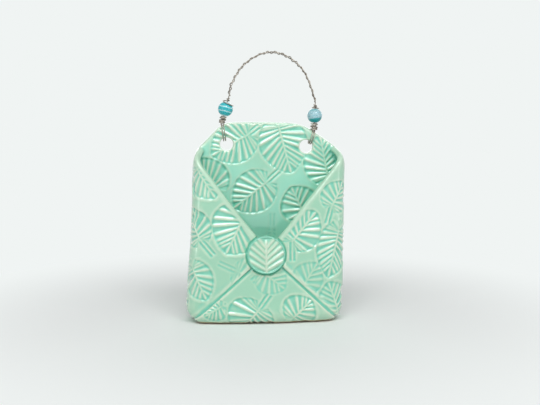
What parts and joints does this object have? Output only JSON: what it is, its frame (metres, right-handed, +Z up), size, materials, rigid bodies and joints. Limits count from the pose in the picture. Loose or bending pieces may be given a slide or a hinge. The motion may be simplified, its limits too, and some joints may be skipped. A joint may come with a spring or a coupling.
{
  "type": "hanging wall vase",
  "caption": "Slab-built wall pocket vase, folded like an envelope, with celadon leaf-impressed glaze, a round leaf seal and a twisted wire handle with glass beads.",
  "frame": {"origin": "the middle of the flat foot, on the surface that the vase stands on", "axes": "+Z up, the front with the mouth and the seal faces -Y, +X to the right as seen from the front"},
  "size_m": [0.1322, 0.0436, 0.223],
  "materials": {
    "celadon_glaze": "glossy celadon glaze over pressed leaves, darker in the hollows and paler on edges",
    "grey_wire": "dull grey annealed steel wire",
    "turquoise_glass": "opaque turquoise glass with thin white stripes",
    "pale_blue_glass": "opaque pale blue glass with a darker teal band"
  },
  "bodies": {
    "vase": {"back_slab": "celadon_glaze", "left_flap": "celadon_glaze", "right_flap": "celadon_glaze", "bottom_flap": "celadon_glaze", "leaf_seal": "celadon_glaze"},
    "handle": {"left_outer_loop": "grey_wire", "left_inner_loop": "grey_wire", "right_inner_loop": "grey_wire", "right_outer_loop": "grey_wire", "left_neck_wrap": "grey_wire", "right_neck_wrap": "grey_wire", "left_cap_wrap": "grey_wire", "right_cap_wrap": "grey_wire", "core_wire": "grey_wire", "twist_wire": "grey_wire"},
    "left_bead": {"left_bead": "turquoise_glass"},
    "right_bead": {"right_bead": "pale_blue_glass"}
  },
  "joints": [
    {"name": "handle_swing", "type": "hinge", "parent": "vase", "child": "handle", "pos_m": [0.0023, 0.01125, 0.1539], "axis": [0.9984, 0, -0.0568], "range_deg": [-40, 40]},
    {"name": "left_bead_spin", "type": "hinge", "parent": "handle", "child": "left_bead", "pos_m": [-0.03273, 0.01125, 0.17496], "axis": [0.2672, 0, 0.9636], "continuous": true},
    {"name": "right_bead_spin", "type": "hinge", "parent": "handle", "child": "right_bead", "pos_m": [0.04179, 0.01125, 0.16952], "axis": [0.0436, 0, 0.999], "continuous": true}
  ]
}
